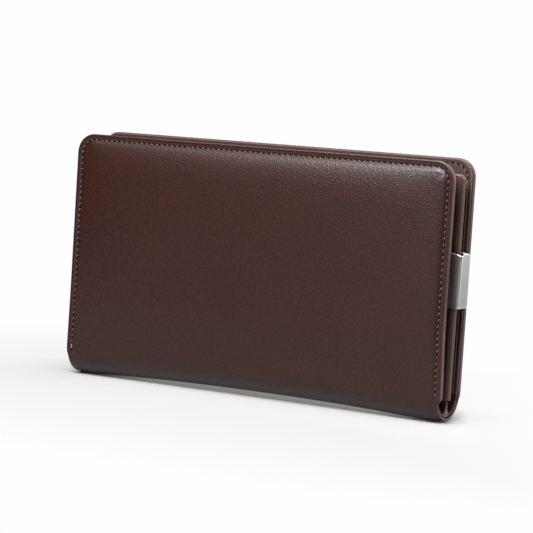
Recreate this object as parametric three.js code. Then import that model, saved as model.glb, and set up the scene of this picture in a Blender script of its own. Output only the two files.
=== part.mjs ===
// A long leather wallet, closed and standing on its folded spine.
// Millimetres. +Z up, X along the long side with the open end at +X, the front cover at -Y.
// The origin is on the table, under the middle of the whole wallet.
//
// The wallet is a book: a rear cover, a bending spine and a front cover, with one page between
// them. Each cover is a leather skin turned in round its rim, over foam and a board, closed by a
// lining that carries a note pocket and stepped card slots. The page is a leather sleeve round a
// board, and a sprung steel clip grips the page's outer edge.

import * as THREE from "three";

// Covers
const COVER_WIDTH = 196;
const COVER_TOPS = { front: 117.2, rear: 118.5 }; // heights above the table
const RIM_THICKNESS = 26; // over both covers, measured at the flat rims
const CROWN = 2.8; // how far the padded middle of a cover stands proud of its rim
const TOP_CORNERS = { front: 9, rear: 8.5 };
const FOOT_CORNER = 0.8; // the small rounding where a cover meets the spine
const LEATHER = 1.2;
const LAYER_GAP = 0.1; // between two glued or stitched layers
const SEAM_INSET = 2.7; // the stitch line, in from the edge
const TURNED_RIM = 3.4; // how far the leather is turned in behind the rim
const BOARD = 0.9;
const RIM_DEPTH = 3.1; // from the rim's face to the back of the turned-in leather
const CORNER_STEPS = 5;

// Spine
const BEND = 9; // outer radius of each of the spine's two bends
const FOLD_GAP = 0.3; // between a bend and its cover
const SPINE_RECESS = 0.8; // how far the spine's ends sit inside the covers' edges
const BEND_STEPS = 7;
const LINING = 0.6;
const SPINE_BOARD = 0.4;

// Pockets, as heights above the table
const LINING_FOOT = 10.5;
const POCKET_FOOT = 12;
const POCKET_TOP = 109;
const PANEL = 0.6;
const SLOT_TOPS = { front: [92, 78, 64], rear: [90, 75] };
const PANEL_INSET = 1.4;
const SLOT_INSET = 3.4;

// Page
const PAGE_MIDDLE = 0.9; // its middle plane sits a little behind the wallet's own
const PAGE_THICKNESS = 5;
const PAGE_WALL = 0.9;
const PAGE_FOOT = 9.6;
const PAGE_TOP = 111.5;
const PAGE_BOARD_SIDE = 2.2; // clearance from the sleeve's ends
const ANCHOR = { thickness: 1, foot: 2.5, top: 8, side: 8 };

// Thread
const THREAD = 0.5;
const THREAD_SIDES = 6;
const THREAD_FOOT = 12;

// Clip
const CLIP = {
  overhang: 4, // past the covers' edge
  sheet: 0.8,
  width: 9.2,
  foot: 53,
  top: 76.5,
  bend: 1.6, // outer radius at the nose
  grip: 16, // from the nose to where the arms pinch
  arm: 21, // from the nose to the arms' tips
  pinch: 0.55, // left over the page at the pinch, for the thread
  flare: 0.9, // how far the tips open again
};

const HALF_WIDTH = COVER_WIDTH / 2;
const HALF_THICKNESS = RIM_THICKNESS / 2;
const COVER_FOOT = BEND + FOLD_GAP;

const LOOKS = {
  leather: { color: "#3c2623", roughness: 0.5, metalness: 0 },
  lining: { color: "#33201d", roughness: 0.65, metalness: 0 },
  foam: { color: "#4a4542", roughness: 0.95, metalness: 0 },
  board: { color: "#8a7f70", roughness: 0.9, metalness: 0 },
  thread: { color: "#7a5a48", roughness: 0.8, metalness: 0 },
  steel: { color: "#8d8a88", roughness: 0.32, metalness: 1 },
};

const wallet = new THREE.Group();
// The clip overhangs one end only, so the covers stand off centre by half of that.
wallet.position.x = -CLIP.overhang / 2;

function add(name, geometry, look) {
  const mesh = new THREE.Mesh(geometry, new THREE.MeshStandardMaterial(LOOKS[look]));
  mesh.name = name;
  wallet.add(mesh);
}

// ---- Flat and crowned panels in the XZ plane ----

// The four sides of a panel of half width w, from foot to top, with its corner radii.
function panelOutline(halfWidth, foot, top, topCorner, footCorner) {
  return { halfWidth, foot, top, topCorner, footCorner };
}

// One ring of points round an outline, drawn in by an inset, anticlockwise seen from the front.
function ring(outline, inset) {
  const w = outline.halfWidth - inset;
  const foot = outline.foot + inset;
  const top = outline.top - inset;
  const footCorner = Math.max(outline.footCorner - inset, 0.1);
  const topCorner = Math.max(outline.topCorner - inset, 0.1);
  const corners = [
    [w - footCorner, foot + footCorner, footCorner, -Math.PI / 2],
    [w - topCorner, top - topCorner, topCorner, 0],
    [-w + topCorner, top - topCorner, topCorner, Math.PI / 2],
    [-w + footCorner, foot + footCorner, footCorner, Math.PI],
  ];
  const points = [];
  for (const [x, z, radius, start] of corners) {
    for (let step = 0; step <= CORNER_STEPS; step++) {
      const angle = start + (step / CORNER_STEPS) * (Math.PI / 2);
      points.push(new THREE.Vector2(x + radius * Math.cos(angle), z + radius * Math.sin(angle)));
    }
  }
  return points;
}

// A closed solid whose section, from the middle of its outer face to the middle of its inner one,
// is a list of [inset, depth] and runs all round an outline. Depth counts from the wallet's middle
// plane towards the side: -1 for the front cover, +1 for the rear.
function crownedPanel(outline, section, side) {
  const rings = section.map(([inset]) => ring(outline, inset));
  const count = rings[0].length;
  const positions = [];
  rings.forEach((points, k) => {
    points.forEach((point) => positions.push(point.x, side * section[k][1], point.y));
  });
  const faces = [];
  const addFace = (a, b, c) => faces.push(...(side < 0 ? [a, b, c] : [a, c, b]));
  for (let k = 0; k + 1 < rings.length; k++) {
    for (let i = 0; i < count; i++) {
      const next = (i + 1) % count;
      const [a, b] = [k * count + i, k * count + next];
      const [c, d] = [a + count, b + count];
      addFace(a, c, b);
      addFace(b, c, d);
    }
  }
  const cap = (points, first, flip) => {
    for (const [a, b, c] of THREE.ShapeUtils.triangulateShape(points, [])) {
      addFace(first + a, first + (flip ? c : b), first + (flip ? b : c));
    }
  };
  cap(rings[0], 0, false);
  cap(rings[rings.length - 1], (rings.length - 1) * count, true);
  const geometry = new THREE.BufferGeometry();
  geometry.setAttribute("position", new THREE.Float32BufferAttribute(positions, 3));
  geometry.setIndex(faces);
  return geometry;
}

// A plain sheet between two depths.
function flatPanel(outline, outerDepth, innerDepth, side) {
  return crownedPanel(outline, [[0, outerDepth], [0, innerDepth]], side);
}

// ---- Covers ----

// How far the outer face stands in from the plateau of the crown, from the middle to the seam.
const CROWN_STEPS = [[24, 0], [16, 0.2], [10, 0.75], [6.4, 1.5], [4.4, 2.3]];

function coverSkin(outline, side) {
  const rim = HALF_THICKNESS;
  const plateau = rim + CROWN;
  const outer = CROWN_STEPS.map(([inset, drop]) => [inset, plateau - drop]);
  const groove = [
    [SEAM_INSET + 0.7, rim - 0.1],
    [SEAM_INSET + 0.4, rim - 0.6],
    [SEAM_INSET - 0.4, rim - 0.6],
    [SEAM_INSET - 0.7, rim - 0.05],
  ];
  const edge = [
    [0.5, rim],
    [0, rim - 0.5],
    [0, rim - RIM_DEPTH + 0.4],
    [0.4, rim - RIM_DEPTH],
    [TURNED_RIM, rim - RIM_DEPTH],
    [TURNED_RIM, rim - LEATHER - 0.4],
  ];
  const inner = [...CROWN_STEPS].reverse().slice(1)
    .map(([inset, drop]) => [inset, plateau - drop - LEATHER]);
  return crownedPanel(outline, [...outer, ...groove, ...edge, ...inner], side);
}

function foamPad(outline, side) {
  const plateau = HALF_THICKNESS + CROWN - LEATHER - LAYER_GAP;
  const back = HALF_THICKNESS - RIM_DEPTH + BOARD + LAYER_GAP;
  const front = CROWN_STEPS.slice(0, 4).map(([inset, drop]) => [inset, plateau - drop]);
  const edge = [[TURNED_RIM + 0.4, back + 0.6], [TURNED_RIM + 0.4, back]];
  return crownedPanel(outline, [...front, ...edge], side);
}

function inset(outline, by) {
  const { halfWidth, foot, top, topCorner, footCorner } = outline;
  return panelOutline(
    halfWidth - by, foot + by, top - by, Math.max(topCorner - by, 0.4), Math.max(footCorner - by, 0.4),
  );
}

// A seam up one side of a panel, along its top and down the other, as points at one depth.
function seamPoints(halfWidth, foot, top, corner, depth) {
  const points = [new THREE.Vector3(-halfWidth, depth, foot)];
  for (const [side, start] of [[-1, Math.PI], [1, Math.PI / 2]]) {
    for (let step = 0; step <= CORNER_STEPS; step++) {
      const angle = start - (step / CORNER_STEPS) * (Math.PI / 2);
      const x = side * (halfWidth - corner) + corner * Math.cos(angle);
      points.push(new THREE.Vector3(x, depth, top - corner + corner * Math.sin(angle)));
    }
  }
  points.push(new THREE.Vector3(halfWidth, depth, foot));
  return points;
}

// A path of straights between points, with a station at each point.
class StationedPath extends THREE.Curve {
  constructor(points) {
    super();
    this.points = points;
  }
  get stations() {
    return this.points.length - 1;
  }
  getPoint(t) {
    const place = t * this.stations;
    const k = Math.min(Math.floor(place), this.stations - 1);
    return this.points[k].clone().lerp(this.points[k + 1], place - k);
  }
  getPointAt(t) {
    return this.getPoint(t);
  }
  getTangentAt(t) {
    const step = 0.5 / this.stations;
    const from = this.getPoint(Math.max(t - step, 0));
    return this.getPoint(Math.min(t + step, 1)).sub(from).normalize();
  }
}

function threadAlong(points) {
  const section = new THREE.Shape();
  for (let k = 0; k < THREAD_SIDES; k++) {
    const angle = (k / THREAD_SIDES) * 2 * Math.PI;
    const point = [(THREAD / 2) * Math.cos(angle), (THREAD / 2) * Math.sin(angle)];
    if (k) section.lineTo(...point);
    else section.moveTo(...point);
  }
  const stationed = new StationedPath(points);
  return new THREE.ExtrudeGeometry(section, { steps: stationed.stations, extrudePath: stationed });
}

function addCover(label, side) {
  const corner = TOP_CORNERS[label];
  const coverTop = COVER_TOPS[label];
  const outline = panelOutline(HALF_WIDTH, COVER_FOOT, coverTop, corner, FOOT_CORNER);
  const rimBack = HALF_THICKNESS - RIM_DEPTH;
  add(`${label}_outer_leather`, coverSkin(outline, side), "leather");
  add(`${label}_foam_pad`, foamPad(outline, side), "foam");
  add(`${label}_board`, flatPanel(inset(outline, TURNED_RIM + 0.3), rimBack + BOARD, rimBack, side), "board");

  let depth = rimBack - LAYER_GAP;
  const liningOutline = panelOutline(HALF_WIDTH - 0.3, LINING_FOOT, coverTop - 0.3, corner - 0.3, FOOT_CORNER);
  add(`${label}_lining`, flatPanel(liningOutline, depth, depth - PANEL, side), "lining");

  depth -= PANEL + LAYER_GAP;
  const pocket = panelOutline(HALF_WIDTH - PANEL_INSET, POCKET_FOOT, POCKET_TOP, 1.5, 1);
  add(`${label}_note_pocket`, flatPanel(pocket, depth, depth - PANEL, side), "leather");

  SLOT_TOPS[label].forEach((top, k) => {
    depth -= PANEL + LAYER_GAP;
    const slot = panelOutline(HALF_WIDTH - SLOT_INSET, POCKET_FOOT, top, 1.5, 1);
    add(`${label}_card_slot_${k + 1}`, flatPanel(slot, depth, depth - PANEL, side), "leather");
  });

  const threadDepth = HALF_THICKNESS - 0.5 + THREAD / 2;
  const points = seamPoints(
    HALF_WIDTH - SEAM_INSET, THREAD_FOOT, coverTop - SEAM_INSET, corner - SEAM_INSET, side * threadDepth,
  );
  add(`${label}_seam_thread`, threadAlong(points), "thread");
}

// ---- Spine ----

// A U-shaped channel of one thickness, in the YZ plane: an arc, the flat strip and an arc.
function channelShape(outerRadius, innerRadius) {
  const flat = HALF_THICKNESS - BEND;
  const tip = FOLD_GAP / BEND; // the angle that each end stops short of upright
  const shape = new THREE.Shape();
  const trace = (centre, radius, start, end) => {
    for (let k = 0; k <= BEND_STEPS; k++) {
      const angle = start + ((end - start) * k) / BEND_STEPS;
      const point = [centre + radius * Math.cos(angle), BEND + radius * Math.sin(angle)];
      if (shape.curves.length || shape.currentPoint.lengthSq()) shape.lineTo(...point);
      else shape.moveTo(...point);
    }
  };
  trace(-flat, outerRadius, Math.PI + tip, 1.5 * Math.PI);
  trace(flat, outerRadius, 1.5 * Math.PI, 2 * Math.PI - tip);
  trace(flat, innerRadius, 2 * Math.PI - tip, 1.5 * Math.PI);
  trace(-flat, innerRadius, 1.5 * Math.PI, Math.PI + tip);
  shape.closePath();
  return shape;
}

// A shape drawn in the YZ plane, drawn out along X from -reach to +reach.
function alongLength(shape, reach) {
  const geometry = new THREE.ExtrudeGeometry(shape, { depth: 2 * reach, bevelEnabled: false });
  geometry.translate(0, 0, -reach);
  const axes = [new THREE.Vector3(0, 1, 0), new THREE.Vector3(0, 0, 1), new THREE.Vector3(1, 0, 0)];
  return geometry.applyMatrix4(new THREE.Matrix4().makeBasis(...axes));
}

function box(x0, x1, y0, y1, z0, z1) {
  const geometry = new THREE.BoxGeometry(x1 - x0, y1 - y0, z1 - z0);
  return geometry.translate((x0 + x1) / 2, (y0 + y1) / 2, (z0 + z1) / 2);
}

function addSpine() {
  const reach = HALF_WIDTH - SPINE_RECESS;
  const boardFoot = LEATHER + LAYER_GAP;
  const liningOuter = BEND - boardFoot - SPINE_BOARD - LAYER_GAP;
  const flat = HALF_THICKNESS - BEND;
  add("spine_leather", alongLength(channelShape(BEND, BEND - LEATHER), reach), "leather");
  add("spine_board", box(-reach + 1, reach - 1, -flat, flat, boardFoot, boardFoot + SPINE_BOARD), "board");
  add("spine_lining", alongLength(channelShape(liningOuter, liningOuter - LINING), reach - 0.6), "lining");
  const { thickness, foot, top, side } = ANCHOR;
  const y0 = PAGE_MIDDLE - thickness / 2;
  const length = HALF_WIDTH - side;
  add("page_anchor_strip", box(-length, length, y0, y0 + thickness, foot, top), "leather");
}

// ---- Page ----

// A flattened ring in the XY plane: two straights joined by half circles.
function racetrack(halfLength, halfThickness) {
  const straight = halfLength - halfThickness;
  const path = new THREE.Path();
  path.absarc(straight, 0, halfThickness, -Math.PI / 2, Math.PI / 2, false);
  path.absarc(-straight, 0, halfThickness, Math.PI / 2, 1.5 * Math.PI, false);
  path.closePath();
  return path;
}

function pageSleeve() {
  const shape = new THREE.Shape(racetrack(HALF_WIDTH, PAGE_THICKNESS / 2).getPoints(6));
  shape.holes.push(racetrack(HALF_WIDTH - PAGE_WALL, PAGE_THICKNESS / 2 - PAGE_WALL));
  const geometry = new THREE.ExtrudeGeometry(shape, {
    depth: PAGE_TOP - PAGE_FOOT, bevelEnabled: false, curveSegments: 6,
  });
  return geometry.translate(0, PAGE_MIDDLE, PAGE_FOOT);
}

function addPage() {
  add("page_sleeve", pageSleeve(), "leather");
  const reach = HALF_WIDTH - PAGE_WALL - PAGE_BOARD_SIDE;
  const y0 = PAGE_MIDDLE - BOARD / 2;
  add("page_board", box(-reach, reach, y0, y0 + BOARD, PAGE_FOOT + 1.5, PAGE_TOP - 3), "board");
  const inFromEdge = 4;
  for (const [label, side] of [["front", -1], ["rear", 1]]) {
    const depth = PAGE_MIDDLE + side * (PAGE_THICKNESS / 2 + 0.02 + THREAD / 2);
    const points = seamPoints(HALF_WIDTH - inFromEdge, PAGE_FOOT + 3, PAGE_TOP - inFromEdge, 3, depth);
    add(`page_thread_${label}`, threadAlong(points), "thread");
  }
}

// ---- Clip ----

// The clip seen from above: a flat nose, a bend at each side, and two arms that close on the page
// and open again at their tips.
function clipShape() {
  const nose = HALF_WIDTH + CLIP.overhang;
  const half = CLIP.width / 2;
  const pinchHalf = PAGE_THICKNESS / 2 + CLIP.pinch;
  const arm = (offset) => [
    [nose - CLIP.arm, pinchHalf + CLIP.flare + offset],
    [nose - CLIP.arm + 1.5, pinchHalf + CLIP.flare * 0.55 + offset],
    [nose - CLIP.grip, pinchHalf + offset],
    [nose - CLIP.bend, half - CLIP.sheet + offset],
  ];
  const bend = (radius) => {
    const points = [];
    for (let k = 1; k < 6; k++) {
      const angle = (Math.PI / 2) * (1 - k / 6);
      const centre = half - CLIP.bend;
      points.push([nose - CLIP.bend + radius * Math.cos(angle), centre + radius * Math.sin(angle)]);
    }
    return [...points, [nose - CLIP.bend + radius, half - CLIP.bend]];
  };
  const outer = [...arm(CLIP.sheet), ...bend(CLIP.bend)];
  const inner = [...arm(0), ...bend(CLIP.bend - CLIP.sheet)];
  const mirror = (points) => points.map(([x, y]) => [x, -y]).reverse();
  const round = [...outer, ...mirror(outer), ...mirror(inner).reverse(), ...[...inner].reverse()];
  return new THREE.Shape(round.map(([x, y]) => new THREE.Vector2(x, y)));
}

function addClip() {
  const geometry = new THREE.ExtrudeGeometry(clipShape(), { depth: CLIP.top - CLIP.foot, bevelEnabled: false });
  add("money_clip", geometry.translate(0, PAGE_MIDDLE, CLIP.foot), "steel");
}

addCover("rear", 1);
addSpine();
addCover("front", -1);
addPage();
addClip();

export default wallet;
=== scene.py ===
"""A closed long wallet of dark brown leather, standing on its spine, with its open end to the right.

The hide and the lining of each cover are one sheet that runs from the middle of the spine, round the
bend and up the cover. Lengths are in metres, in the CAD frame.
"""

import math

import bmesh
import bpy
import numpy as np
from mathutils import Matrix, Vector


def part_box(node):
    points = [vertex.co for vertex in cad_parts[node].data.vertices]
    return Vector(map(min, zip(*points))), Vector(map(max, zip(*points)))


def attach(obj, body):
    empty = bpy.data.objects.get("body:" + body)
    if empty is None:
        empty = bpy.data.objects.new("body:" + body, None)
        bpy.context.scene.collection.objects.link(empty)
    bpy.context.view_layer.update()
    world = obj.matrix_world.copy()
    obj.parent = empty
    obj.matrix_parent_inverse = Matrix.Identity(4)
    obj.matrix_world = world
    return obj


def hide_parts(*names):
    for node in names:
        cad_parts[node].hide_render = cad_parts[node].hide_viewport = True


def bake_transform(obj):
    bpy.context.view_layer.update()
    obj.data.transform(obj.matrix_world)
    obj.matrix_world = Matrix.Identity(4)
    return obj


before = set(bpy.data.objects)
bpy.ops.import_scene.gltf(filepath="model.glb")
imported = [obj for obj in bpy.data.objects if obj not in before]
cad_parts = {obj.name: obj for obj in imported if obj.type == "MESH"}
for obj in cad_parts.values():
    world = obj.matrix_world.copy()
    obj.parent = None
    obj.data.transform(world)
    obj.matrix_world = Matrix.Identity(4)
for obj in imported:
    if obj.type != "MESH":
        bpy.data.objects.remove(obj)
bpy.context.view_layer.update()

MM = 0.001

# ---------------------------------------------------------------- sizes, from the frame

COVER_LOW, COVER_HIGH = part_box("front_outer_leather")
SPINE_LOW, SPINE_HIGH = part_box("spine_leather")
RIM = SPINE_HIGH.y  # from the middle plane to the flat rim of a cover
BEND = RIM  # the spine is half round, when the wallet is closed
QUARTER = BEND * math.pi / 2
SPINE_RECESS = SPINE_LOW.x - COVER_LOW.x
LEFT, RIGHT = COVER_LOW.x, COVER_HIGH.x + 0.5 * MM
MIDDLE_X = (LEFT + RIGHT) / 2
HALF_WIDTH = (RIGHT - LEFT) / 2

HIDE = 1.2 * MM
HIDE_AT_RIM = 3.1 * MM  # where it is turned in behind itself
TURNED_RIM = 3.4 * MM
LINING_UNDER_SPINE = 1.8 * MM
LINING = 0.6 * MM
LAYER_GAP = 0.1 * MM
EDGE_ROUND = 0.4 * MM
SPINE_LIFT = 2.15 * MM  # the spine bows up off the table between its ends
SPINE_BOWED = 0.9  # the share of its length that the spine is bowed over
SPINE_CURL = 0.5 * MM
SPINE_PINCH = 0.02
NOTCH = (8.2 * MM, 11.2 * MM)  # where the covers' thick rims give way to the bare spine

SEAM_INSET = 2.7 * MM
SEAM_FOOT = 12 * MM
STITCH_PITCH = 2.8 * MM
STITCH_LENGTH = 1.3 * MM
STITCH_RADIUS = 0.24 * MM
STITCH_SLANT = math.radians(10)
STITCH_DIP = 0.35 * MM
STITCH_LIFT = 0.06 * MM
STITCH_ARCH, STITCH_FLATTENED = 0.25, 0.8  # as shares of its radius
HOLE_LENGTH, HOLE_WIDTH = 1.8 * MM, 0.75 * MM
HOLE_SLANT = math.radians(42)
HOLE_RISE = 0.24 * MM
HOLE_LIFT = 0.05 * MM
HOLE_SKIN = 0.08 * MM

CROWN = 3.0 * MM
CROWN_FOOT = 40 * MM  # how far up a cover its padding has its full height
SEAM_TUCK = 0.35 * MM
TUCK_WIDTH = 0.7 * MM
GROOVE = 0.42 * MM
GROOVE_WIDTH = 0.62 * MM
CREASE = 0.14 * MM
CREASE_INSET = 0.95 * MM


class Cover:
    """One cover: its side of the middle plane, its body, its top, its top corners' radius, how far
    its foot flares out at its open end, and how far the spine under it is set in."""

    def __init__(self, label, side, corner, flare, recess):
        self.label = label
        self.side = side
        self.corner = corner
        self.flare = flare
        self.recess = recess
        self.body = f"{label}_cover"
        self.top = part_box(f"{label}_outer_leather")[1].z
        self.reach = QUARTER + self.top - BEND  # along the hide, from mid-spine to the top


FRONT = Cover("front", -1, 9 * MM, 0.8 * MM, SPINE_RECESS)
REAR = Cover("rear", 1, 8.5 * MM, 0, 0.3 * MM)
MIDDLE_RECESS = (FRONT.recess + REAR.recess) / 2

# ---------------------------------------------------------------- small mathematics


def smooth(low, high, value):
    """0 below low, 1 above high, and a smooth rise between them."""
    t = np.clip((value - low) / (high - low), 0, 1)
    return t * t * (3 - 2 * t)


def hump(centre, width, value):
    return np.exp(-(((value - centre) / width) ** 2))


def graded(start, end, fine, step):
    """Lines from start to end, at the distances in fine from each end and a step apart between."""
    count = max(int(round((end - start - 2 * fine[-1]) / step)), 1)
    between = np.linspace(start + fine[-1], end - fine[-1], count + 1)[1:-1]
    return np.concatenate([start + fine, between, (end - fine)[::-1]])


# ---------------------------------------------------------------- meshes


def quads(rows, columns, first=0, closed=False, flip=False):
    """Faces of a grid of points, optionally joined round from the last row to the first."""
    faces = []
    for i in range(rows if closed else rows - 1):
        for j in range(columns - 1):
            a, b = first + i * columns + j, first + ((i + 1) % rows) * columns + j
            face = (a, b, b + 1, a + 1)
            faces.append(face[::-1] if flip else face)
    return faces


def shell(name, outer, inner, flat, tone, closed=False):
    """A closed solid between two grids of points. flat is each point's place on the leather laid
    flat, for its grain, and tone is its painted light: above nought wear and painted highlight, below nought
    painted shade."""
    rows, columns = outer.shape[:2]
    count = rows * columns
    faces = quads(rows, columns, 0, closed) + quads(rows, columns, count, closed, flip=True)
    top = columns - 1
    for i in range(rows if closed else rows - 1):
        a, b = i * columns, ((i + 1) % rows) * columns
        faces.append((a + top, b + top, b + top + count, a + top + count))
        faces.append((b, a, a + count, b + count))
    if not closed:
        last = (rows - 1) * columns
        for j in range(columns - 1):
            faces.append((j, j + 1, j + 1 + count, j + count))
            faces.append((last + j + 1, last + j, last + j + count, last + j + 1 + count))
    points = np.concatenate([outer.reshape(-1, 3), inner.reshape(-1, 3)])
    behind = flat + np.array([0, 0, 1 * MM])
    flats = np.concatenate([flat.reshape(-1, 3), behind.reshape(-1, 3)])
    tones = np.concatenate([tone.ravel(), tone.ravel()])
    return mesh_object(name, points, faces, flats, tones)


def mesh_object(name, points, faces, flats, tones=None, sharp=40):
    mesh = bpy.data.meshes.new(name)
    mesh.from_pydata(np.asarray(points).tolist(), [], faces)
    mesh.validate()
    attribute = mesh.attributes.new("flat", "FLOAT_VECTOR", "POINT")
    attribute.data.foreach_set("vector", np.asarray(flats, np.float32).ravel())
    if tones is None:
        tones = np.zeros(len(points))
    attribute = mesh.attributes.new("tone", "FLOAT", "POINT")
    attribute.data.foreach_set("value", np.asarray(tones, np.float32))
    piece = bpy.data.objects.new(name, mesh)
    bpy.context.scene.collection.objects.link(piece)
    face_outwards(mesh)
    mesh.polygons.foreach_set("use_smooth", np.ones(len(mesh.polygons), bool))
    mesh.set_sharp_from_angle(angle=math.radians(sharp))
    return piece


def face_outwards(mesh):
    cage = bmesh.new()
    cage.from_mesh(mesh)
    bmesh.ops.recalc_face_normals(cage, faces=cage.faces)
    cage.to_mesh(mesh)
    cage.free()


# ---------------------------------------------------------------- materials


def linear(red, green, blue):
    """A screen colour, 0 to 255, as the linear numbers that a shader takes."""

    def channel(c):
        return c / 255 / 12.92 if c <= 10 else ((c / 255 + 0.055) / 1.055) ** 2.4

    return channel(red), channel(green), channel(blue)


class Nodes:
    """A short way to write a node tree."""

    def __init__(self, tree):
        self.tree = tree

    def add(self, kind, inputs=None, **settings):
        node = self.tree.nodes.new(kind)
        for key, value in settings.items():
            setattr(node, key, value)
        for key, value in (inputs or {}).items():
            if isinstance(value, bpy.types.NodeSocket):
                self.tree.links.new(value, node.inputs[key])
            else:
                node.inputs[key].default_value = value
        return node

    def maths(self, operation, a, b, c=0.0):
        return self.add("ShaderNodeMath", {0: a, 1: b, 2: c}, operation=operation).outputs[0]

    def vector(self, operation, a, b=(0, 0, 0), output="Vector"):
        return self.add("ShaderNodeVectorMath", {0: a, 1: b}, operation=operation).outputs[output]

    def scaled(self, vector, by):
        return self.add("ShaderNodeVectorMath", {0: vector, 3: by}, operation="SCALE").outputs[0]

    def noise(self, vector, scale, detail):
        inputs = {"Vector": vector, "Scale": scale, "Detail": detail}
        return self.add("ShaderNodeTexNoise", inputs).outputs["Fac"]

    def flat_place(self):
        """The place on the sheet laid flat, in millimetres."""
        return self.scaled(self.add("ShaderNodeAttribute", attribute_name="flat").outputs["Vector"], 1 / MM)

    def tone(self):
        return self.add("ShaderNodeAttribute", attribute_name="tone").outputs["Fac"]

    def ramp(self, value, low, high, to_low=0.0, to_high=1.0):
        inputs = {0: value, 1: low, 2: high, 3: to_low, 4: to_high}
        return self.add("ShaderNodeMapRange", inputs, clamp=True).outputs[0]

    def mix(self, share, a, b, blend="MIX"):
        node = self.add("ShaderNodeMix", {0: share, 6: a, 7: b}, data_type="RGBA", blend_type=blend)
        return node.outputs[2]


def new_material(name):
    material = bpy.data.materials.new(name)
    material.use_nodes = True
    tree = material.node_tree
    tree.nodes.clear()
    nodes = Nodes(tree)
    shader = nodes.add("ShaderNodeBsdfPrincipled")
    output = nodes.add("ShaderNodeOutputMaterial")
    tree.links.new(shader.outputs[0], output.inputs[0])
    return material, nodes, shader


def connect(nodes, shader, **sockets):
    for key, value in sockets.items():
        nodes.tree.links.new(value, shader.inputs[key.replace("_", " ")])


def rgba(colour, by=1.0):
    return (colour[0] * by, colour[1] * by, colour[2] * by, 1)


def leather(name, colour, relief, roughness, specular, cell=0.75, wear_and_highlight=None, variation=0.12):
    """Pebbled leather. cell is a pebble's size and relief its height, both in millimetres; its paler
    colour for edges, where the tone is above nought, stands for wear and a painted highlight."""
    material, nodes, shader = new_material(name)
    tone = nodes.tone()
    millimetres = nodes.flat_place()
    # The pebbles are longer one way than the other and lie aslant, as on a hide that was rolled.
    stretch = {"Vector": millimetres, "Rotation": (0, 0, math.radians(32)), "Scale": (0.72, 1.25, 1)}
    slanted = nodes.add("ShaderNodeMapping", stretch).outputs[0]
    wander = nodes.add("ShaderNodeTexNoise", {"Vector": slanted, "Scale": 0.9, "Detail": 2.0})
    warped = nodes.vector("ADD", slanted, nodes.scaled(wander.outputs["Color"], 0.55))
    pebble = {"Vector": warped, "Scale": 1 / cell, "Smoothness": 0.35, "Randomness": 0.9}
    cells = nodes.add("ShaderNodeTexVoronoi", pebble, feature="SMOOTH_F1").outputs["Distance"]
    crease = {"Vector": warped, "Scale": 0.45 / cell, "Randomness": 1.0}
    creases = nodes.add("ShaderNodeTexVoronoi", crease, feature="DISTANCE_TO_EDGE").outputs["Distance"]
    pores = nodes.noise(millimetres, 3.5, 3.0)
    tops = nodes.ramp(cells, 0.12, 0.62, 1.0, 0.0)
    valleys = nodes.ramp(creases, 0.0, 0.14, 0.0, 1.0)
    height = nodes.maths("MULTIPLY_ADD", valleys, 0.12, nodes.maths("MULTIPLY", tops, 0.8))
    height = nodes.maths("MULTIPLY_ADD", pores, 0.22, height)
    bump = nodes.add("ShaderNodeBump", {"Strength": 1.0, "Distance": relief * MM, "Height": height})

    light = nodes.ramp(nodes.noise(millimetres, 0.045, 4.0), 0.3, 0.7, 1 - variation, 1 + variation)
    shade = nodes.ramp(tops, 0.0, 0.7, 0.55, 1.16)
    shade = nodes.maths("MULTIPLY", shade, nodes.ramp(valleys, 0, 1, 0.82, 1.0))
    shaded = nodes.maths("MULTIPLY", light, shade)
    grey = nodes.add("ShaderNodeCombineColor", {0: shaded, 1: shaded, 2: shaded}).outputs[0]
    base = nodes.mix(1.0, rgba(colour), grey, "MULTIPLY")
    wear_and_highlight = wear_and_highlight or tuple(min(c * 2.2 + 0.012, 1) for c in colour)
    # Where the tone is above nought the colour goes paler: wear and a painted highlight along edges.
    base = nodes.mix(nodes.ramp(tone, 0.0, 1.0), base, rgba(wear_and_highlight))
    # Where the tone is below nought it goes dark: painted shade in grooves, creases and gaps.
    base = nodes.mix(nodes.ramp(tone, 0.0, -1.0, 0.0, 0.85), base, rgba(colour, 0.12))
    gloss = nodes.ramp(tops, 0.0, 1.0, roughness + 0.10, roughness - 0.03)
    connect(nodes, shader, Base_Color=base, Roughness=gloss, Normal=bump.outputs[0])
    shader.inputs["Specular IOR Level"].default_value = specular
    return material


def thread_material(name, colour):
    """Twisted thread: fine slanting plies and a dusty sheen."""
    material, nodes, shader = new_material(name)
    millimetres = nodes.flat_place()
    plies = {"Vector": millimetres, "Scale": 1.6, "Distortion": 1.2}
    ply = nodes.add("ShaderNodeTexWave", plies, bands_direction="DIAGONAL").outputs["Fac"]
    fibre = nodes.noise(millimetres, 2.2, 3.0)
    base = nodes.mix(nodes.ramp(ply, 0.1, 0.9, 0.1, 0.8), rgba(colour, 0.55), rgba(colour, 1.15))
    base = nodes.mix(nodes.ramp(fibre, 0.4, 0.7, 0.0, 0.45), base, rgba(colour, 0.7))
    bump = nodes.add("ShaderNodeBump", {"Strength": 0.8, "Distance": 0.05 * MM, "Height": ply})
    connect(nodes, shader, Base_Color=base, Normal=bump.outputs[0])
    shader.inputs["Roughness"].default_value = 0.62
    shader.inputs["Sheen Weight"].default_value = 0.25
    return material


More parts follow.
